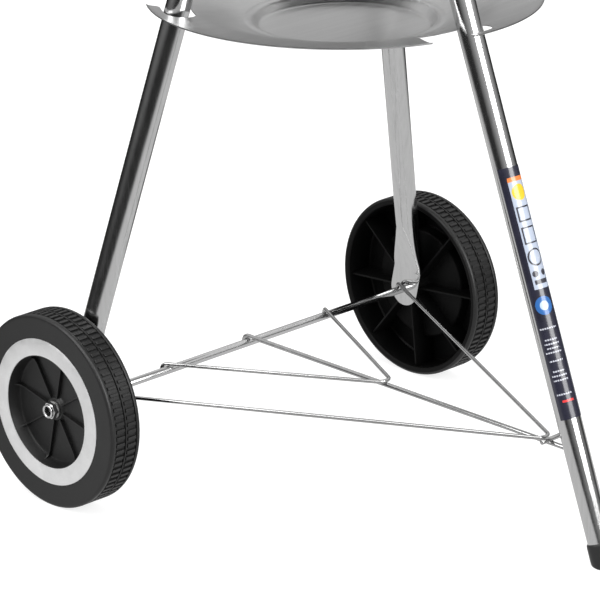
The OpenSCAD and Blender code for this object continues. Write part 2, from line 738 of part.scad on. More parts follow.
module lid_base_screws() in_frame() color("silver") for (x = LID_SCREWS) {
    z = dome_cz + sqrt(dome_R * dome_R - x * x);
    translate([x, 0, z]) {
        translate([0, 0, -8]) cylinder(h = 14, d = 5);
        translate([0, 0, 3.8]) cylinder(h = 2.6, d = 10);
        translate([0, 0, -6]) hexagon(8, 4);
    }
}

// The hook inside the lid that hangs it on the bowl's edge.
hook_angle = 50;
module lid_hook() in_frame() color("silver") {
    foot = polar3(dome_R - sheet_t - 2, hook_angle);
    knee = polar3(dome_R - 24, hook_angle);
    wire([foot, knee, knee - [0, 0, 34], knee + [0, 16, -34], knee + [0, 16, -24]], 5, [6, 6, 6]);
    // the foot, a round plate against the dome
    translate(polar3(dome_R - sheet_t - 2.4, hook_angle)) rotate([-hook_angle, 0, 0]) cylinder(h = 2, d = 16);
}

// A point inside the lid, at distance r from the dome's centre, towards the back.
function polar3(r, a) = [0, r * sin(a), dome_cz + r * cos(a)];

bowl();
grate_brackets();
front_leg_socket();
left_leg_socket();
right_leg_socket();
socket_bolts();
front_leg();
left_leg();
right_leg();
front_foot();
leg_label();
axle();
axle_washers();
axle_nuts();
left_wheel();
right_wheel();
left_wheel_trim();
right_wheel_trim();
rack_outer_wire();
rack_inner_wire();
rack_center_wire();
rack_stop_bar();
ash_tray();
vent_blades();
vent_shaft();
vent_lever();
vent_lever_grip();
left_handle_bracket();
right_handle_bracket();
left_handle_grip();
right_handle_grip();
side_handle_bolts();
charcoal_grate();
cooking_grate();
lid();
lid_handle_bracket();
lid_heat_shield();
lid_handle_grip();
lid_handle_bolt();
lid_base_screws();
lid_damper();
damper_rivet();
lid_hook();
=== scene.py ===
"""Looks of the kettle grill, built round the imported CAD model."""

import math

import bmesh
import bpy
from mathutils import Matrix, Vector


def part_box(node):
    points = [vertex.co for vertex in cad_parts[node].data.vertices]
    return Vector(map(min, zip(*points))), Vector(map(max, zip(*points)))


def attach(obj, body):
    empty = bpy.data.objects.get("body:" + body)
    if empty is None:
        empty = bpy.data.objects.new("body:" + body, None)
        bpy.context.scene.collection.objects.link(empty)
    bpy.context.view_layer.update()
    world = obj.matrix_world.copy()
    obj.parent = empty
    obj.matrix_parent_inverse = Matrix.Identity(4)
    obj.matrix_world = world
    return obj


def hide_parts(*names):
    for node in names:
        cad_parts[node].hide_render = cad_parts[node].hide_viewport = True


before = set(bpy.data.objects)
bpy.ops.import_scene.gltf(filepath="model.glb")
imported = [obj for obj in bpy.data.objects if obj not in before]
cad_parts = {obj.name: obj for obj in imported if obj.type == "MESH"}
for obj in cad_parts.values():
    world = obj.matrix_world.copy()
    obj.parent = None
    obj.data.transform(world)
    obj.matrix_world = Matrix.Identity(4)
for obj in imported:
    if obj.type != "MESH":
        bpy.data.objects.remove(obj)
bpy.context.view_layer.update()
MM = 0.001

# ---- values of the CAD model, in mm ----
bowl_lo, bowl_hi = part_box("bowl")
KETTLE_Y = (bowl_lo.y + bowl_hi.y) / 2 / MM
wheel_lo, wheel_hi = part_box("right_wheel")
WHEEL_R = (wheel_hi.z - wheel_lo.z) / 2 / MM
AXLE_Y = (wheel_lo.y + wheel_hi.y) / 2 / MM
AXLE_Z = WHEEL_R
WHEEL_W = 39.0                     # with the silver ring
WHEEL_X = wheel_hi.x / MM - WHEEL_W  # inner plane of a wheel
AXLE_R = 4.25
LEG_R = 12.5
TRAY_Z = 505.0
TRAY_R = 199.0
SHEET = 1.2                        # thickness of the tray's sheet
LEG_TRAY_R = 171.0                 # the legs' distance from the middle at the tray
FRONT_FOOT_R, REAR_FOOT_R = 357.0, 317.0   # and at the ground
FRONT_SLOPE = (FRONT_FOOT_R - LEG_TRAY_R) / TRAY_Z
REAR_SLOPE = (REAR_FOOT_R - LEG_TRAY_R) / TRAY_Z
REAR_DEG = 30.4
REAR_ANGLE = math.radians(REAR_DEG)
WIRE_GAP = 0.1                     # between a wire and the axle
CENTRE_WIRE_D, V_WIRE_D = 5.0, 4.0
RACK_Z = AXLE_Z + AXLE_R + WIRE_GAP + CENTRE_WIRE_D / 2


def front_leg_at(z):
    return Vector((0, KETTLE_Y - FRONT_FOOT_R + FRONT_SLOPE * z, z))


def rear_leg_at(z):
    r = REAR_FOOT_R - REAR_SLOPE * z
    return Vector((r * math.cos(REAR_ANGLE), KETTLE_Y + r * math.sin(REAR_ANGLE), z))


def ease(t):
    """0 to 1 with a smooth start and end."""
    t = max(0.0, min(1.0, t))
    return t * t * (3 - 2 * t)


def turn(k, n):
    """The angle of step k of n round a full turn."""
    return 2 * math.pi * k / n


def circle(c, x, y, r, n):
    """n points on a circle about c in the plane of x and y."""
    return [c + (x * math.cos(turn(k, n)) + y * math.sin(turn(k, n))) * r for k in range(n)]


# ---- mesh building, in mm ----
class Part:
    """Collects vertices and faces in mm and makes one object of them."""

    def __init__(self):
        self.v, self.f = [], []

    def rings(self, rings, wrap=False):
        """Faces between rings of equal length. wrap joins the last ring to the first, without caps."""
        base, n = len(self.v), len(rings[0])
        for r in rings:
            self.v += [Vector(p) for p in r]
        last = len(rings) if wrap else len(rings) - 1
        for i in range(last):
            a, b = base + i * n, base + ((i + 1) % len(rings)) * n
            for k in range(n):
                k1 = (k + 1) % n
                self.f.append((a + k, a + k1, b + k1, b + k))
        if not wrap:
            self.f.append(tuple(base + k for k in reversed(range(n))))
            self.f.append(tuple(base + (len(rings) - 1) * n + k for k in range(n)))

    def lathe(self, profile, centre, axis, segs, closed=True):
        """Turns points (radius, along) round an axis. closed joins the profile's ends."""
        x, y, z = frame_of(axis)
        rings = []
        for k in range(segs):
            d = x * math.cos(turn(k, segs)) + y * math.sin(turn(k, segs))
            rings.append([centre + d * r + z * h for r, h in profile])
        base, n = len(self.v), len(profile)
        for r in rings:
            self.v += r
        for k in range(segs):
            a, b = base + k * n, base + ((k + 1) % segs) * n
            for i in range(n if closed else n - 1):
                j = (i + 1) % n
                quad = [a + i, b + i, b + j, a + j]
                if profile[i][0] < 1e-6:
                    quad = [a + i, b + j, a + j]
                if profile[j][0] < 1e-6:
                    quad = [a + i, b + i, a + j]
                if profile[i][0] < 1e-6 and profile[j][0] < 1e-6:
                    continue
                self.f.append(tuple(quad))

    def prism(self, outline, z0, z1, matrix):
        self.rings([[matrix @ Vector((x, y, z)) for x, y in outline] for z in (z0, z1)])

    def sweep(self, path, d, sides=20):
        """A round wire of diameter d along the points of path, with rounded ends."""
        rings, x = [], None
        n = len(path)
        for i, p in enumerate(path):
            t = (path[min(i + 1, n - 1)] - path[max(i - 1, 0)]).normalized()
            if x is None:
                x = t.orthogonal().normalized()
            x = (x - t * x.dot(t)).normalized()
            y = t.cross(x)
            rings.append([p, t, x, y, d / 2])
        p, t, x, y, r = rings[0]
        q, u, e, f, _ = rings[-1]
        inset = ((0.0, 0.55), (0.08, 0.8), (0.25, 0.95))
        rings[0][0], rings[-1][0] = p + t * r * 0.5, q - u * r * 0.5
        rings = [[p + t * r * i, t, x, y, r * k] for i, k in inset] + rings
        rings += [[q - u * r * i, u, e, f, r * k] for i, k in reversed(inset)]
        self.rings([circle(p, x, y, r, sides) for p, t, x, y, r in rings])

    def make(self, name, material, body, replaces=(), slot=None, angle=35):
        mesh = bpy.data.meshes.new(name)
        mesh.from_pydata([p * MM for p in self.v], [], self.f)
        mesh.validate()
        obj = bpy.data.objects.new(name, mesh)
        bpy.context.scene.collection.objects.link(obj)
        return dress(obj, material, body, replaces, angle)


def dress(obj, material, body, replaces, angle):
    """Cleans and shades an object, gives it a material and hangs it on its body."""
    bm = bmesh.new()
    bm.from_mesh(obj.data)
    bmesh.ops.remove_doubles(bm, verts=bm.verts, dist=1e-6)
    bmesh.ops.recalc_face_normals(bm, faces=bm.faces)
    bm.to_mesh(obj.data)
    bm.free()
    shade(obj, angle)
    obj.data.materials.clear()
    obj.data.materials.append(material)
    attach(obj, body)
    if replaces:
        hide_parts(*replaces)
    return obj


def shade(obj, angle):
    """Smooth shading, broken where faces meet at more than angle degrees."""
    for p in obj.data.polygons:
        p.use_smooth = True
    obj.data.set_sharp_from_angle(angle=math.radians(angle))


def apply(obj):
    """Makes an object's modifiers part of its mesh."""
    dg = bpy.context.evaluated_depsgraph_get()
    mesh = bpy.data.meshes.new_from_object(obj.evaluated_get(dg))
    obj.modifiers.clear()
    obj.data = mesh


def frame_of(axis):
    """Three directions at right angles, the last one along axis."""
    z = Vector(axis).normalized()
    up = Vector((0, 0, 1)) if abs(z.z) < 0.9 else Vector((0, 1, 0))
    x = up.cross(z).normalized()
    return x, z.cross(x), z


def arc(c, r, a0, a1, n):
    """n steps on a circle about c, from a0 to a1 degrees."""
    return [(c[0] + r * math.cos(math.radians(a0 + (a1 - a0) * i / n)),
             c[1] + r * math.sin(math.radians(a0 + (a1 - a0) * i / n))) for i in range(n + 1)]


def rounded(points, radii, n=14):
    """A route with its inner corners rounded, in n steps each."""
    out = [points[0]]
    for i in range(1, len(points) - 1):
        u = (points[i - 1] - points[i]).normalized()
        v = (points[i + 1] - points[i]).normalized()
        half = math.acos(max(-1, min(1, u.dot(v)))) / 2
        r = radii[i - 1]
        c = points[i] + (u + v).normalized() * (r / math.sin(half))
        x = (points[i] + u * (r / math.tan(half)) - c).normalized()
        w = points[i] + v * (r / math.tan(half)) - c
        y = x.cross(w).normalized().cross(x)
        for k in range(n + 1):
            a = (math.pi - 2 * half) * k / n
            out.append(c + (x * math.cos(a) + y * math.sin(a)) * r)
    return out + [points[-1]]


# ---- materials ----
class Nodes:
    """Short calls that add shader nodes and link them."""

    def __init__(self, name):
        self.mat = bpy.data.materials.new(name)
        self.mat.use_nodes = True
        self.nt = self.mat.node_tree
        self.nt.nodes.clear()
        self.out = self.nt.nodes.new("ShaderNodeOutputMaterial")
        self.bsdf = self.nt.nodes.new("ShaderNodeBsdfPrincipled")
        self.nt.links.new(self.bsdf.outputs[0], self.out.inputs[0])

    def new(self, kind, **values):
        n = self.nt.nodes.new(kind)
        for k, v in values.items():
            setattr(n, k, v)
        return n

    def link(self, a, b):
        self.nt.links.new(a, b)

    def coords(self, scale):
        tc = self.new("ShaderNodeTexCoord")
        mp = self.new("ShaderNodeMapping")
        mp.inputs["Scale"].default_value = scale
        self.link(tc.outputs["Object"], mp.inputs["Vector"])
        return mp.outputs[0]

    def noise(self, scale, detail=4, rough=0.5, stretch=(1, 1, 1)):
        n = self.new("ShaderNodeTexNoise")
        self.link(self.coords(stretch), n.inputs["Vector"])
        n.inputs["Scale"].default_value = scale
        n.inputs["Detail"].default_value = detail
        n.inputs["Roughness"].default_value = rough
        return n.outputs["Fac"]

    def cells(self, scale):
        """Distance from the middle of the nearest cell."""
        n = self.new("ShaderNodeTexVoronoi")
        self.link(self.coords((1, 1, 1)), n.inputs["Vector"])
        n.inputs["Scale"].default_value = scale
        return n.outputs["Distance"]

    def span(self, fac, lo, hi, a=0.3, b=0.7):
        """Maps a value from a..b to lo..hi."""
        n = self.new("ShaderNodeMapRange")
        self.link(fac, n.inputs[0])
        for i, x in zip((1, 2, 3, 4), (a, b, lo, hi)):
            n.inputs[i].default_value = x
        return n.outputs[0]

    def ramp(self, fac, stops):
        n = self.new("ShaderNodeValToRGB")
        self.link(fac, n.inputs[0])
        el = n.color_ramp.elements
        while len(el) < len(stops):
            el.new(0.5)
        for e, (pos, col) in zip(el, stops):
            e.position, e.color = pos, (*col, 1)
        return n.outputs[0]

    def math(self, op, a, b=0.0):
        n = self.new("ShaderNodeMath", operation=op)
        for i, x in enumerate((a, b)):
            if isinstance(x, (int, float)):
                n.inputs[i].default_value = x
            else:
                self.link(x, n.inputs[i])
        return n.outputs[0]

    def mix(self, fac, a, b):
        n = self.new("ShaderNodeMix", data_type="RGBA")
        self.link(fac, n.inputs[0])
        for i, x in ((6, a), (7, b)):
            if isinstance(x, tuple):
                n.inputs[i].default_value = (*x, 1)
            else:
                self.link(x, n.inputs[i])
        return n.outputs[2]

    def bump(self, height, strength, distance, normal=None):
        n = self.new("ShaderNodeBump")
        n.inputs["Strength"].default_value = strength
        n.inputs["Distance"].default_value = distance
        self.link(height, n.inputs["Height"])
        if normal is not None:
            self.link(normal, n.inputs["Normal"])
        return n.outputs[0]

    def finish(self, colour, rough, normal, **sockets):
        for k, v in sockets.items():
            self.bsdf.inputs[k.replace("_", " ")].default_value = v
        for k, v in (("Base Color", colour), ("Roughness", rough), ("Normal", normal)):
            self.link(v, self.bsdf.inputs[k])
        return self.mat


def metal(name, dark, light, rough, stretch, scale, grain, tint=(1, 1, 1), bump=0.05):
    """Metal with a broad and a fine grain; rough is its range of roughness."""
    m = Nodes(name)
    broad = m.noise(scale, 5, 0.6, stretch)
    fine = m.noise(grain, 3, 0.6, stretch)
    c = m.ramp(broad, [(0.3, tuple(dark * t for t in tint)), (0.7, tuple(light * t for t in tint))])
    r = m.math("ADD", m.span(broad, rough[0], rough[1]), m.span(fine, -0.02, 0.03))
    return m.finish(c, r, m.bump(fine, bump, 0.0003), Metallic=1.0)


def plastic(name, dark, light, rough, grain=2500, bump=0.12, specular=0.5):
    """Moulded black plastic with a fine pebbled skin."""
    m = Nodes(name)
    broad = m.noise(25, 6, 0.65)
    fine = m.noise(grain, 2, 0.5)
    c = m.ramp(broad, [(0.3, (dark, dark, dark)), (0.72, (light, light, light))])
    r = m.math("ADD", m.span(broad, rough[0], rough[1]), m.span(fine, -0.04, 0.04))
    soft = m.bump(broad, 0.03, 0.001)
    return m.finish(c, r, m.bump(fine, bump, 0.0002, soft), Specular_IOR_Level=specular)


ALONG = (1, 1, 0.012)       # grain that runs up a nearly vertical tube
chrome = metal("polished_tube", 0.60, 0.66, (0.11, 0.15), ALONG, 260, 900, bump=0.006)
wire_chrome = metal("plated_wire", 0.42, 0.52, (0.09, 0.15), (1, 1, 1), 120, 1500, bump=0.01)
axle_steel = metal("axle_steel", 0.56, 0.66, (0.10, 0.16), (0.02, 1, 1), 260, 1200, bump=0.008)
zinc = metal("zinc_plate", 0.42, 0.58, (0.28, 0.42), (1, 1, 1), 60, 900, (1.0, 1.0, 0.985))
bright_zinc = metal("bright_zinc", 0.62, 0.78, (0.14, 0.26), (1, 1, 1), 200, 1200)
tray_steel = metal("tray_steel", 0.60, 0.68, (0.30, 0.38), (0.04, 1, 1), 120, 900, bump=0.05)
silver = metal("silver_ring", 0.90, 0.97, (0.46, 0.56), (1, 1, 1), 90, 1600, bump=0.06)
grate_steel = metal("grate_steel", 0.40, 0.60, (0.25, 0.42), (1, 1, 1), 60, 900, (1.0, 0.99, 0.97))
aluminium = metal("aluminium", 0.60, 0.72, (0.30, 0.42), (0.03, 1, 1), 140, 1100)
tyre_black = plastic("tyre_black", 0.0030, 0.0055, (0.40, 0.50), specular=0.5)
# plain black of the nut inserts; also laid on the wheels' hollow inner sides as painted shade, darker and
# duller than the tyre
insert_black_and_cavity_shade = plastic("insert_black_and_cavity_shade", 0.0012, 0.0025, (0.50, 0.62), specular=0.14)
handle_black = plastic("handle_black", 0.009, 0.016, (0.38, 0.52), 1800, 0.2, specular=0.4)
cap_black = plastic("cap_black", 0.008, 0.013, (0.40, 0.52), specular=0.4)


def enamel_black():
    """Glossy porcelain enamel with faint specks and orange peel."""
    m = Nodes("enamel")
    broad = m.noise(8, 4, 0.6)
    peel = m.noise(260, 2, 0.45)
    specks = m.cells(900)
    black = m.ramp(broad, [(0.3, (0.0085, 0.0085, 0.0085)), (0.7, (0.0125, 0.0125, 0.0125))])
    c = m.mix(m.span(specks, 0.25, 0.0, 0.0, 0.12), black, (0.03, 0.03, 0.032))
    r = m.span(broad, 0.08, 0.14)
    n = m.bump(peel, 0.10, 0.0006)
    return m.finish(c, r, n, Coat_Weight=0.15, Coat_Roughness=0.04, Specular_IOR_Level=0.5)


enamel = enamel_black()


def label_film():
    """A plain printed film: bars, squares, discs and dashes with no lettering."""
    m = Nodes("label_film")
    tc = m.new("ShaderNodeTexCoord")
    sep = m.new("ShaderNodeSeparateXYZ")
    m.link(tc.outputs["UV"], sep.inputs[0])
    u, v = sep.outputs[0], sep.outputs[1]     # u: mm round the tube, v: mm up the label, both / 1000

    def near(x, c, half):
        return m.math("LESS_THAN", m.math("ABSOLUTE", m.math("SUBTRACT", x, c)), half)

    def rect(uc, vc, hu, hv):
        return m.math("MULTIPLY", near(u, uc, hu), near(v, vc, hv))

    def dot(uc, vc, r):
        du, dv = m.math("SUBTRACT", u, uc), m.math("SUBTRACT", v, vc)
        square = m.math("ADD", m.math("MULTIPLY", du, du), m.math("MULTIPLY", dv, dv))
        return m.math("LESS_THAN", square, r * r)

    def join(*masks):
        out = masks[0]
        for x in masks[1:]:
            out = m.math("MAXIMUM", out, x)
        return out

    def frame_mask(uc, vc, hu, hv, t):
        return m.math("SUBTRACT", rect(uc, vc, hu, hv), rect(uc, vc, hu - t, hv - t))

    L, mid = 0.2511, 0.0338       # the label's length, and where its panel's middle is round the tube
    base = m.ramp(m.noise(60, 4), [(0.3, (0.010, 0.010, 0.020)), (0.7, (0.016, 0.016, 0.030))])
    c = m.mix(rect(mid, 0.951 * L, 0.0115, 0.0026), base, (0.62, 0.17, 0.04))
    c = m.mix(rect(mid, 0.731 * L, 0.0115, 0.0535), c, (0.34, 0.38, 0.46))
    c = m.mix(dot(mid - 0.002, 0.900 * L, 0.0080), c, (0.62, 0.42, 0.02))
    ink = join(frame_mask(mid - 0.002, 0.815 * L, 0.0078, 0.0075, 0.0016),
               frame_mask(mid - 0.002, 0.730 * L, 0.0078, 0.0085, 0.0016),
               m.math("SUBTRACT", dot(mid - 0.002, 0.642 * L, 0.0088), dot(mid - 0.002, 0.642 * L, 0.0070)),
               dot(mid - 0.007, 0.578 * L, 0.0032), dot(mid + 0.003, 0.578 * L, 0.0032),
               rect(mid - 0.002, 0.545 * L, 0.0075, 0.0022))
    c = m.mix(ink, c, (0.03, 0.03, 0.04))
    c = m.mix(dot(mid - 0.006, 0.452 * L, 0.0092), c, (0.02, 0.10, 0.30))
    c = m.mix(dot(mid - 0.006, 0.452 * L, 0.0046), c, (0.38, 0.47, 0.58))
    # rows of dashes: place up the label and half length
    rows = [rect(mid - 0.008, r * L, h, 0.00075) for r, h in (
        (0.363, 0.0090), (0.318, 0.0065), (0.301, 0.0075), (0.284, 0.0065), (0.267, 0.0085),
        (0.233, 0.0070), (0.192, 0.0060), (0.174, 0.0080), (0.156, 0.0075), (0.100, 0.0080))]
    dashes = m.math("GREATER_THAN", m.math("FRACT", m.math("MULTIPLY", u, 420.0)), 0.28)
    c = m.mix(m.math("MULTIPLY", join(*rows), dashes), c, (0.42, 0.43, 0.48))
    c = m.mix(rect(mid - 0.006, 0.072 * L, 0.0060, 0.0011), c, (0.62, 0.03, 0.03))
    fine = m.noise(900, 2)
    r = m.span(m.noise(40, 4), 0.20, 0.30)
    return m.finish(c, r, m.bump(fine, 0.04, 0.0002), Coat_Weight=0.5, Coat_Roughness=0.12,
                    Specular_IOR_Level=0.6)


label_mat = label_film()

# ---- wheels ----
LUGS = 84                 # in each of the tread's two rows
LUG_SHARE = 0.49          # a lug's share of its pitch
TREAD_R = WHEEL_R - 2.0   # bottom of the tread's grooves
WEB = 23.0                # outer face of the web, from the wheel's inner plane
NUT_X = WHEEL_X + 29.0    # inner face of a lock nut


def on_wheel(side):
    """The middle of a wheel's inner plane, and the direction outwards."""
    return Vector((side * WHEEL_X, AXLE_Y, AXLE_Z)), Vector((side, 0, 0))


def wheel_body(side):
    """The CAD body, and node, of the wheel on that side."""
    return "right_wheel" if side > 0 else "left_wheel"


def wheel(name, side, phase):
    """A moulded wheel: lugged tread, ribs on both sides and a hub. phase turns the ribs, in degrees."""
    c, ax = on_wheel(side)
    R = WHEEL_R
    p = Part()
    # (radius, distance out from the inner plane)
    prof = [(93.5, 2.0), (94.5, 0.9), *arc((R - 3, 3.6), 3, -90, 0, 6)]
    prof += [(R, 5.2), (R - 0.3, 5.6), (TREAD_R, 5.9), (TREAD_R, 18.5), (R - 0.3, 18.9), (R - 0.3, 20.1),
             (TREAD_R, 20.5), (TREAD_R, 33.1), (R - 0.3, 33.4), (R, 33.8), *arc((R - 3, 36.0), 3, 0, 90, 6)]
    prof += [(96.9, 38.75), (78.2, 38.75), (77.25, 38.6), (77.2, 37.9), (59.3, 37.9), (59.2, 38.6),
             (58.7, 38.55), (58.4, 38.0), (57.6, WEB + 4), (56.6, WEB + 1.8), (54.4, WEB + 0.9),
             (40, WEB + 0.3), (18, WEB), (14.0, WEB + 0.3), (12.8, WEB + 1.2), (12.0, 26.4), (11.4, 27.0),
             (4.35, 27.0), (4.35, -2.5), (12.4, -2.5), (13.0, -1.8), (13.4, WEB - 4.2), (15, WEB - 3),
             (59.5, WEB - 2.8), (61.3, WEB - 1.8), (62.0, WEB - 0.4), (63.2, 33.0), (64.6, 34.4),
             (91.5, 34.4), (93.0, 33.0)]
    p.lathe(prof, c, ax, 192)
    x, y, z = frame_of(ax)

    def place(r, a, h):
        return c + (x * math.cos(a) + y * math.sin(a)) * r + z * h

    pitch = 2 * math.pi / LUGS
    for row, (h0, h1) in enumerate(((6.6, 17.6), (21.4, 32.4))):
        for k in range(LUGS):
            a0 = pitch * (k + 0.5 * row)
            rings = []
            for r, g in ((TREAD_R - 0.6, 0.0), (R - 0.35, 0.15), (R - 0.02, 0.55)):
                da = pitch * LUG_SHARE / 2 - g / R
                rings.append([place(r, a0 - da, h0 + g), place(r, a0 + da, h0 + g),
                              place(r, a0 + da, h1 - g), place(r, a0 - da, h1 - g)])
            p.rings(rings)
    for k in range(8):
        t = math.radians(phase + 45 * k)
        d = Vector((0, math.sin(t), math.cos(t)))
        s = z.cross(d)

        def rib(outline, w):
            lo = [c + d * r + z * h - s * w for r, h in outline]
            hi = [c + d * r + z * h + s * w for r, h in outline]
            p.rings([lo, hi])

        rib([(12, WEB - 0.2), (57.9, WEB - 0.2), (58.5, 34), (57.3, 30.5), (55.0, 27.8), (50, 26.6),
             (13, 26.6), (12, 26.8)], 0.7)
        rib([(12.5, WEB - 2.4), (61.4, WEB - 2.4), (62.6, 34.6), (93.8, 34.6), (93.8, 6.5), (90.5, 4.6),
             (62, 4.2), (16, 3.0), (12.5, 3.0)], 0.9)
    body = wheel_body(side)
    obj = p.make(name, tyre_black, body, [body], "wheel_plastic", 38)
    # the hollow inner side gets a darker, duller black: painted shade for the wheel's recess
    obj.data.materials.append(insert_black_and_cavity_shade)
    for face in obj.data.polygons:
        h = side * face.center.x / MM - WHEEL_X
        r = math.hypot(face.center.y / MM - AXLE_Y, face.center.z / MM - AXLE_Z)
        if r < 97 and h < WEB - 1 or 60.5 < r < 96 and h < 35:
            face.material_index = 1


def trim(name, side):
    """The silver ring pressed into a wheel's outer face."""
    body, (c, ax) = wheel_body(side), on_wheel(side)
    inner, outer, face, edge = 59.45, 77.05, WHEEL_W, WHEEL_W - 0.15
    p = Part()
    p.lathe([(inner, face - 1), (inner, edge), (inner + 0.3, face), (outer - 0.3, face), (outer, edge),
             (outer, face - 1)], c, ax, 192)
    p.make(name, silver, body, [body + "_trim"], "silver_trim", 50)


def nut(p, side):
    """Adds to p a hexagonal lock nut with a round collar."""
    c = Vector((side * NUT_X, AXLE_Y, AXLE_Z))
    x, y, z = frame_of((side, 0, 0))
    flats, h, n = 7.9, 5.3, 60      # half across the flats, height, steps round
    corner = flats / math.cos(math.pi / 6)
    outer = []
    for level, scale in ((0.0, 0.94), (0.7, 1.0), (h - 0.7, 1.0), (h, 0.93)):
        ring = []
        for a in (turn(k, n) for k in range(n)):
            r = min(flats / math.cos((a % (math.pi / 3)) - math.pi / 6), corner * scale)
            ring.append(c + (x * math.cos(a) + y * math.sin(a)) * r + z * level)
        outer.append(ring)
    bore = [circle(c + z * level, x, y, 4.3, n) for level in (h, 0.0)]
    p.rings(outer + bore, wrap=True)
    collar = [(5.0, h - 0.4), (7.4, h - 0.4), (7.4, 6.9), *arc((6.2, 7.1), 1.2, 0, 180, 10)]
    p.lathe(collar + [(5.0, 6.6), (4.9, 6.0)], c, z, n)


def insert(p, side):
    """Adds to p the locking ring inside a nut."""
    p.lathe([(2.7, 4.2), (2.7, 5.3), (3.2, 5.8), (4.6, 6.0), (5.1, 5.6), (5.1, 4.2)],
            Vector((side * NUT_X, AXLE_Y, AXLE_Z)), (side, 0, 0), 48)


# ---- legs ----
TAB_T = 2.6                        # thickness of the flattened tube
TAB_X = WHEEL_X - 4.5 - TAB_T / 2  # middle of the tab
TAB_TOP = 131                      # height from which the tab leans to the axle
LEAN = math.atan((AXLE_Y - rear_leg_at(TAB_TOP).y) / (TAB_TOP - AXLE_Z))


def wheel_leg(name, side):
    """A round tube pressed flat to a tab that hangs on the axle."""
    up = (rear_leg_at(500) - rear_leg_at(0)).normalized()
    w0 = (Vector((0, 1, 0)) - up * up.y).normalized()
    t0 = w0.cross(up).normalized()
    if t0.x < 0:
        t0 = -t0
    rings, n = [], 64

    def ring(c, w, t, a, b, e):
        """A superellipse about c with half axes a along w and b along t; e = 2 is an ellipse."""
        out = []
        for k in range(n):
            cs, sn = math.cos(turn(k, n)), math.sin(turn(k, n))
            out.append(c + w * (a * math.copysign(abs(cs) ** (2 / e), cs))
                       + t * (b * math.copysign(abs(sn) ** (2 / e), sn)))
        rings.append(out)

    for z in (598, 500, 400, 300, 240, 210, 190):
        ring(rear_leg_at(z), w0, t0, LEG_R, LEG_R, 2)
    crease_z = 124.8
    crease_c = Vector((TAB_X, AXLE_Y - (crease_z - AXLE_Z) * math.tan(LEAN), crease_z))
    crease_w = Vector((0, 39, 4.9)).normalized()
    crease_a = 19.6
    # the pressed part lies in a plane that holds the leg and the crease
    flat_t = crease_w.cross(up).normalized()
    start, end = rear_leg_at(184), rear_leg_at(crease_z)
    steps = 30
    for i in range(steps + 1):
        s = i / steps
        c = start.lerp(end, s) + (crease_c - end) * ease(s / 0.8)
        w = w0.lerp(crease_w, ease(s / 0.5)).normalized()
        t = t0.lerp(flat_t, ease(s / 0.5)).normalized()
        flat = min(1.0, s / 0.85)
        a = LEG_R + (crease_a - LEG_R) * flat ** 1.5
        b = TAB_T / 2 + (LEG_R - TAB_T / 2) * (1 - flat) ** 1.2
        ring(c, w, t, a, b, 2 + 4.0 * flat)
    crease = len(rings) - 1
    tab_t = Vector((1, 0, 0))
    down = Vector((0, math.sin(LEAN), -math.cos(LEAN)))
    across = Vector((0, math.cos(LEAN), math.sin(LEAN)))
    ax = Vector((TAB_X, AXLE_Y, AXLE_Z))
    half = 19.5
    for i in range(1, 5):
        s = i / 4
        c = crease_c.lerp(ax - down * 1.0, s)
        w = (crease_w * (1 - s) + across * s).normalized()
        a = crease_a + (half - crease_a) * s
        ring(c, w, tab_t, a, TAB_T / 2, 6)
    for i in range(1, 13):
        q = math.radians(7.3 * i)
        b = TAB_T / 2 if i < 12 else 0.9
        ring(ax + down * (half * math.sin(q)), across, tab_t, half * math.cos(q), b, 6)
    p = Part()
    p.rings(rings)
    if side < 0:
        for v in p.v:
            v.x = -v.x
    body_node = "right_leg" if side > 0 else "left_leg"
    obj = p.make(name, chrome, "stand", [body_node], "chrome", 50)
    edges = {tuple(sorted((crease * n + k, crease * n + (k + 1) % n))) for k in range(n)}
    for e in obj.data.edges:
        if tuple(sorted(e.vertices)) in edges:
            e.use_edge_sharp = True


def foot_cap():
    """The black sleeve on the front leg, cut level at the ground."""
    up = (front_leg_at(500) - front_leg_at(0)).normalized()
    x = Vector((1, 0, 0))
    y = up.cross(x).normalized()
    n, R = 64, LEG_R + 1.45

    def ring(r, z):
        return circle(front_leg_at(z), x, y, r, n)

    def ground_ring(r, h):
        """A ring of the sleeve that lies level at height h."""
        return [q + up * ((h - q.z) / up.z) for q in ring(r, 0)]

    rings = [ground_ring(R - in_by, h) for in_by, h in ((1.2, 0.0), (0.5, 0.25), (0.1, 1.0), (0.0, 2.2))]
    rings += [ring(R, 12), ring(R, 20.5), ring(R - 0.25, 22.0), ring(R - 0.9, 22.8),
              ring(LEG_R + 0.06, 23.0), ring(LEG_R + 0.06, 14.0)]
    p = Part()
    p.rings(rings)
    p.make("foot_cap", cap_black, "stand", ["front_foot"], "black_plastic", 50)


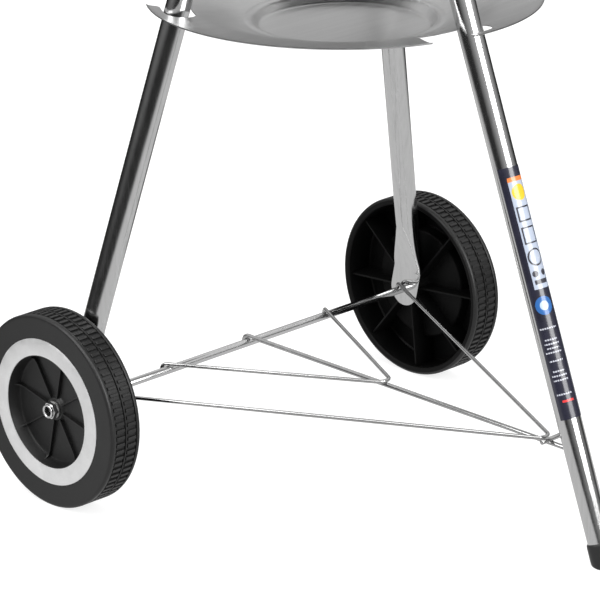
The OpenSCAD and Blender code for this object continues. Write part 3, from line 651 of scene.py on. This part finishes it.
def label():
    """The film wrapped round the front leg, with a map of its surface for its print."""
    lo, hi = front_leg_at(141), front_leg_at(377)
    up = (hi - lo).normalized()
    back = Vector((0, up.z, -up.y))
    left = Vector((-1, 0, 0))
    length = (hi - lo).length
    start, end, cols, rows = 96.0, 380.0, 96, 40   # degrees round the tube from its back
    ri, ro = LEG_R + 0.10, LEG_R + 0.34
    verts, faces = [], []
    for r in (ro, ri):
        for j in range(rows + 1):
            for i in range(cols + 1):
                a = math.radians(start + (end - start) * i / cols)
                out = back * math.cos(a) + left * math.sin(a)
                verts.append(lo + up * (length * j / rows) + out * r)
    w = cols + 1
    layer_n = w * (rows + 1)

    def at(layer, j, i):
        return layer * layer_n + j * w + i

    for j in range(rows):
        for i in range(cols):
            faces.append((at(0, j, i), at(0, j, i + 1), at(0, j + 1, i + 1), at(0, j + 1, i)))
            faces.append((at(1, j, i), at(1, j + 1, i), at(1, j + 1, i + 1), at(1, j, i + 1)))
    for j in range(rows):
        faces.append((at(0, j, 0), at(0, j + 1, 0), at(1, j + 1, 0), at(1, j, 0)))
        faces.append((at(0, j, cols), at(1, j, cols), at(1, j + 1, cols), at(0, j + 1, cols)))
    for i in range(cols):
        faces.append((at(0, 0, i), at(1, 0, i), at(1, 0, i + 1), at(0, 0, i + 1)))
        faces.append((at(0, rows, i), at(0, rows, i + 1), at(1, rows, i + 1), at(1, rows, i)))
    p = Part()
    p.v, p.f = verts, faces
    obj = p.make("label_wrap", label_mat, "stand", ["leg_label"], "label", 50)
    wrap = obj.data.uv_layers.new(name="wrap")
    for loop in obj.data.loops:
        j, i = divmod(loop.vertex_index % layer_n, w)
        # metres round the tube from 30 degrees, and metres up the label
        a = math.radians(start - 30 + (end - start) * i / cols)
        wrap.data[loop.index].uv = (a * ro * MM, length * j / rows * MM)


# ---- wire rack ----
def hook(x, d):
    """The end of a wire of diameter d, bent down behind the axle."""
    h = AXLE_R + d / 2 + WIRE_GAP
    return [Vector((x, AXLE_Y + h, AXLE_Z - AXLE_R - 2.5)), Vector((x, AXLE_Y + h, AXLE_Z + h))]


def v_wire(name, hook_x, bend_y, node):
    """A wire that hooks on the axle at both ends and bends where it rests on the centre wire."""
    d, bend = V_WIRE_D, 10.0
    half = math.atan(hook_x / (AXLE_Y - KETTLE_Y + bend_y))
    tip_y = KETTLE_Y - bend_y - bend / math.sin(half) + bend
    point = Vector((0, tip_y, RACK_Z + CENTRE_WIRE_D / 2 + d / 2))
    right, left = hook(hook_x, d), hook(-hook_x, d)
    h = AXLE_R + d / 2 + WIRE_GAP
    path = rounded([*right, point, left[1], left[0]], [h, bend, h])
    p = Part()
    p.sweep(path, d)
    p.make(name, wire_chrome, "stand", [node], "chrome", 60)


def centre_wire():
    """The straight wire from the axle into the front leg."""
    d = CENTRE_WIRE_D
    end = front_leg_at(RACK_Z) + Vector((0, 2, 0))
    path = rounded([*hook(0, d), Vector((0, end.y, RACK_Z))], [AXLE_R + d / 2 + WIRE_GAP])
    p = Part()
    p.sweep(path, d)
    p.make("middle_wire", wire_chrome, "stand", ["rack_center_wire"], "chrome", 60)


def stop_bar():
    """The short rod across the front leg."""
    lo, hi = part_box("rack_stop_bar")
    c = (lo + hi) / 2 / MM
    half, r = (hi.x - lo.x) / 2 / MM, (hi.z - lo.z) / 2 / MM
    p = Part()
    prof = [(0, -half), (r - 0.6, -half), (r, -half + 0.6), (r, half - 0.6), (r - 0.6, half), (0, half)]
    p.lathe(prof, c, Vector((1, 0, 0)), 32, closed=False)
    p.make("stop_bar", wire_chrome, "stand", ["rack_stop_bar"], "chrome", 50)


def axle():
    """The axle rod, with a small centre hole in each end."""
    half, r = NUT_X + 3.0, AXLE_R
    p = Part()
    prof = [(0, -half + 0.9), (2.0, -half + 0.9), (2.6, -half), (r - 1.1, -half), (r, -half + 1.4),
            (r, half - 1.4), (r - 1.1, half), (2.6, half), (2.0, half - 0.9), (0, half - 0.9)]
    p.lathe(prof, Vector((0, AXLE_Y, AXLE_Z)), Vector((1, 0, 0)), 64, closed=False)
    p.make("axle_rod", axle_steel, "stand", ["axle"], "chrome", 40)


# ---- ash tray ----
def smooth_line(points, n=6):
    """A smooth curve through points, in n steps between each two."""
    def between(a, b, c, d, t):
        return 0.5 * (2 * b + (c - a) * t + (2 * a - 5 * b + 4 * c - d) * t * t
                      + (3 * b - a - 3 * c + d) * t ** 3)

    out = []
    for i in range(len(points) - 1):
        near = (points[max(i - 1, 0)], points[i], points[i + 1], points[min(i + 2, len(points) - 1)])
        out += [tuple(between(*(q[j] for q in near), k / n) for j in (0, 1)) for k in range(n)]
    return out + [points[-1]]


def tray():
    """A thin plate that slopes to a dish, with three slots that hold the legs."""
    dish, floor_h = 97.0, -27.0
    # (radius, height over the tray's plane)
    curve = smooth_line([
        (dish - 24, floor_h), (dish - 14, floor_h), (dish - 10.5, floor_h + 1), (dish - 8, -23.5),
        (dish - 4.5, -19.5), (dish - 2, -18.2), (dish + 1, -17.8), (dish + 5, -18.3), (dish + 10, -17.4),
        (dish + 16, -15.5), (dish + 33, -8.5), (dish + 48, -3.8), (dish + 60, -1.4), (TRAY_R - 22, 0.6),
        (TRAY_R - 10, 2.2), (TRAY_R - 4, 3.2), (TRAY_R - 1.6, 4.0), (TRAY_R, 5.0)])
    top = [(0.0, floor_h), (40.0, floor_h)] + curve
    prof = top + [(r, h - SHEET) for r, h in reversed(top)]
    p = Part()
    p.lathe(prof, Vector((0, KETTLE_Y, TRAY_Z)), Vector((0, 0, 1)), 288, closed=False)
    obj = p.make("tray_disc", tray_steel, "ash_tray", ["ash_tray"], "tray_steel", 40)
    leg_half = LEG_R / math.cos(math.atan(FRONT_SLOPE))
    inner, outer = LEG_TRAY_R - leg_half - 3, LEG_TRAY_R + leg_half + 1.5
    # angles in degrees from the leg: the slot's inner corner, its closed end, and its lip's tip
    corner, end, tip, lip = -18.2, 3.4, -5.2, 1.5

    def pol(r, a):
        return (r * math.cos(math.radians(a)), r * math.sin(math.radians(a)))

    shape = [pol(inner, corner + (end - corner) * k / 24) for k in range(25)]
    shape += arc(pol((inner + outer) / 2, end), (outer - inner) / 2, end + 180, end, 16)[1:-1]
    shape += [pol(outer, end + (tip + lip - end) * k / 8) for k in range(9)]
    shape += [pol(outer + 4.0 * (1 - x), tip + lip * (1 - y)) for x, y in arc((0, 0), 1, 0, 90, 6)[1:]]
    shape += [pol(TRAY_R + 12, tip), pol(TRAY_R + 12, -20.6)]
    cutter = Part()
    for leg in (-90.0, REAR_DEG, 180 - REAR_DEG):
        m = Matrix.Translation((0, KETTLE_Y, TRAY_Z)) @ Matrix.Rotation(math.radians(leg), 4, "Z")
        cutter.prism(shape, -8, 20, m)
    cut = cutter.make("cutter", tray_steel, "ash_tray")
    mod = obj.modifiers.new("slots", "BOOLEAN")
    mod.operation, mod.solver, mod.object = "DIFFERENCE", "MANIFOLD", cut
    apply(obj)
    bpy.data.objects.remove(cut, do_unlink=True)
    shade(obj, 40)


wheel("wheel_left", -1, 32.2)
wheel("wheel_right", 1, 4.7)
trim("ring_left", -1)
trim("ring_right", 1)
nuts, inserts = Part(), Part()
for side in (1, -1):
    nut(nuts, side)
    insert(inserts, side)
nuts.make("lock_nuts", bright_zinc, "stand", ["axle_nuts"], "zinc", 40)
inserts.make("nut_inserts", insert_black_and_cavity_shade, "stand", ["axle_nuts"], "zinc", 40)
wheel_leg("leg_left", -1)
wheel_leg("leg_right", 1)
foot_cap()
label()
v_wire("outer_wire", 233.5, 276.0, "rack_outer_wire")
v_wire("inner_wire", 119.0, 58.0, "rack_inner_wire")
centre_wire()
stop_bar()
axle()
tray()

# ---- CAD nodes that keep their shape ----
# the record's slots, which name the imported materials
KEPT = {
    "enamel": enamel, "chrome": chrome, "zinc": zinc, "tray_steel": tray_steel, "label": label_mat,
    "black_plastic": handle_black, "wheel_plastic": tyre_black, "silver_trim": silver,
    "grate_steel": grate_steel, "aluminium": aluminium,
}
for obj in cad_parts.values():
    for place in obj.material_slots:
        key = place.material.name.split(".")[0] if place.material else ""
        if key in KEPT:
            place.material = KEPT[key]

# ---- stage: floor, light and camera ----
CENTRE = Vector((0, KETTLE_Y * MM, 0))


def disc(name, r, z):
    """A flat round sheet for the stage, in metres."""
    mesh = bpy.data.meshes.new(name)
    n = 96
    ring = [(r * math.cos(turn(k, n)), CENTRE.y + r * math.sin(turn(k, n)), z) for k in range(n)]
    mesh.from_pydata(ring, [], [tuple(range(n))])
    obj = bpy.data.objects.new(name, mesh)
    bpy.context.scene.collection.objects.link(obj)
    return obj


def floor_material(name, albedo, glow, fade=None):
    """Matt paper with a glow. fade is the near and far radius of the glow's fall and its last value."""
    m = Nodes(name)
    m.bsdf.inputs["Base Color"].default_value = (albedo, albedo, albedo, 1)
    m.bsdf.inputs["Roughness"].default_value = 0.9
    m.bsdf.inputs["Specular IOR Level"].default_value = 0.0
    m.bsdf.inputs["Emission Color"].default_value = (1, 1, 1, 1)
    m.bsdf.inputs["Emission Strength"].default_value = glow
    if fade:
        tc = m.new("ShaderNodeTexCoord")
        far = m.new("ShaderNodeVectorMath", operation="DISTANCE")
        m.link(tc.outputs["Object"], far.inputs[0])
        far.inputs[1].default_value = CENTRE
        near_r, far_r, last = fade
        strength = m.span(far.outputs["Value"], glow, last, near_r, far_r)
        m.link(strength, m.bsdf.inputs["Emission Strength"])
    return m.mat


floor = disc("floor", 9.0, -0.0002)
floor.data.materials.append(floor_material("floor_paper", 0.35, 0.78))
floor.visible_glossy = False
# reflections see a bright floor that ends near the grill
table = disc("floor_bounce", 2.2, -0.0001)
table.data.materials.append(floor_material("floor_bounce", 0.0, 0.70, (0.95, 1.45, 0.04)))
table.visible_camera = table.visible_diffuse = table.visible_shadow = table.visible_transmission = False

scene = bpy.context.scene
world = bpy.data.worlds.new("studio")
scene.world = world
world.use_nodes = True
wn = world.node_tree
wn.nodes.clear()


def world_node(kind):
    return wn.nodes.new("ShaderNode" + kind)


# the camera sees white; everything else sees a room that is dark at the horizon and bright above
w_out, w_mix, w_path = world_node("OutputWorld"), world_node("MixShader"), world_node("LightPath")
w_white, w_room = world_node("Background"), world_node("Background")
w_coord, w_height, w_ramp = world_node("TexCoord"), world_node("SeparateXYZ"), world_node("ValToRGB")
wn.links.new(w_coord.outputs["Generated"], w_height.inputs[0])
wn.links.new(w_height.outputs[2], w_ramp.inputs[0])
stops = w_ramp.color_ramp.elements
stops.new(0.5)
for e, (pos, val) in zip(stops, ((0.0, 0.03), (0.42, 0.75), (1.0, 0.95))):
    e.position, e.color = pos, (val, val, val, 1)
wn.links.new(w_ramp.outputs[0], w_room.inputs[0])
w_white.inputs[0].default_value = (1, 1, 1, 1)
for k, source in enumerate((w_path.outputs["Is Camera Ray"], w_room.outputs[0], w_white.outputs[0])):
    wn.links.new(source, w_mix.inputs[k])
wn.links.new(w_mix.outputs[0], w_out.inputs[0])


def softbox(name, azimuth, elevation, distance, size, power):
    """A soft area light, seen in reflections and not by the camera. Angles in degrees."""
    light = bpy.data.lights.new(name, "AREA")
    light.shape, light.size, light.size_y, light.energy = "RECTANGLE", size[0], size[1], power
    obj = bpy.data.objects.new(name, light)
    a, e = math.radians(azimuth), math.radians(elevation)
    target = CENTRE + Vector((0, 0, 0.35))
    back = Vector((math.cos(a) * math.cos(e), math.sin(a) * math.cos(e), math.sin(e)))
    obj.location = target + back * distance
    obj.rotation_mode = "QUATERNION"
    obj.rotation_quaternion = (-back).to_track_quat("-Z", "Y")
    obj.visible_camera = False
    scene.collection.objects.link(obj)


softbox("front_box", 270, 22, 2.6, (1.7, 1.6), 60)
softbox("top_box", 225, 75, 2.6, (2.4, 2.4), 60)
softbox("left_box", 165, 35, 2.8, (1.4, 1.6), 35)

scene.view_settings.view_transform = "Standard"
scene.view_settings.look = "None"

cam_data = bpy.data.cameras.new("camera")
cam_data.sensor_width = 36
cam_data.lens = 210.66
cam_data.clip_end = 100
camera = bpy.data.objects.new("camera", cam_data)
scene.collection.objects.link(camera)
camera.location = CENTRE + Vector((-2.39697, -2.40250, 1.40795))
target = CENTRE + Vector((-0.06638, 0.0, 0.20322))
look = (target - camera.location).to_track_quat("-Z", "Y").to_matrix().to_4x4()
camera.rotation_mode = "QUATERNION"
camera.rotation_quaternion = (look @ Matrix.Rotation(-0.010, 4, "Z")).to_quaternion()
scene.camera = camera
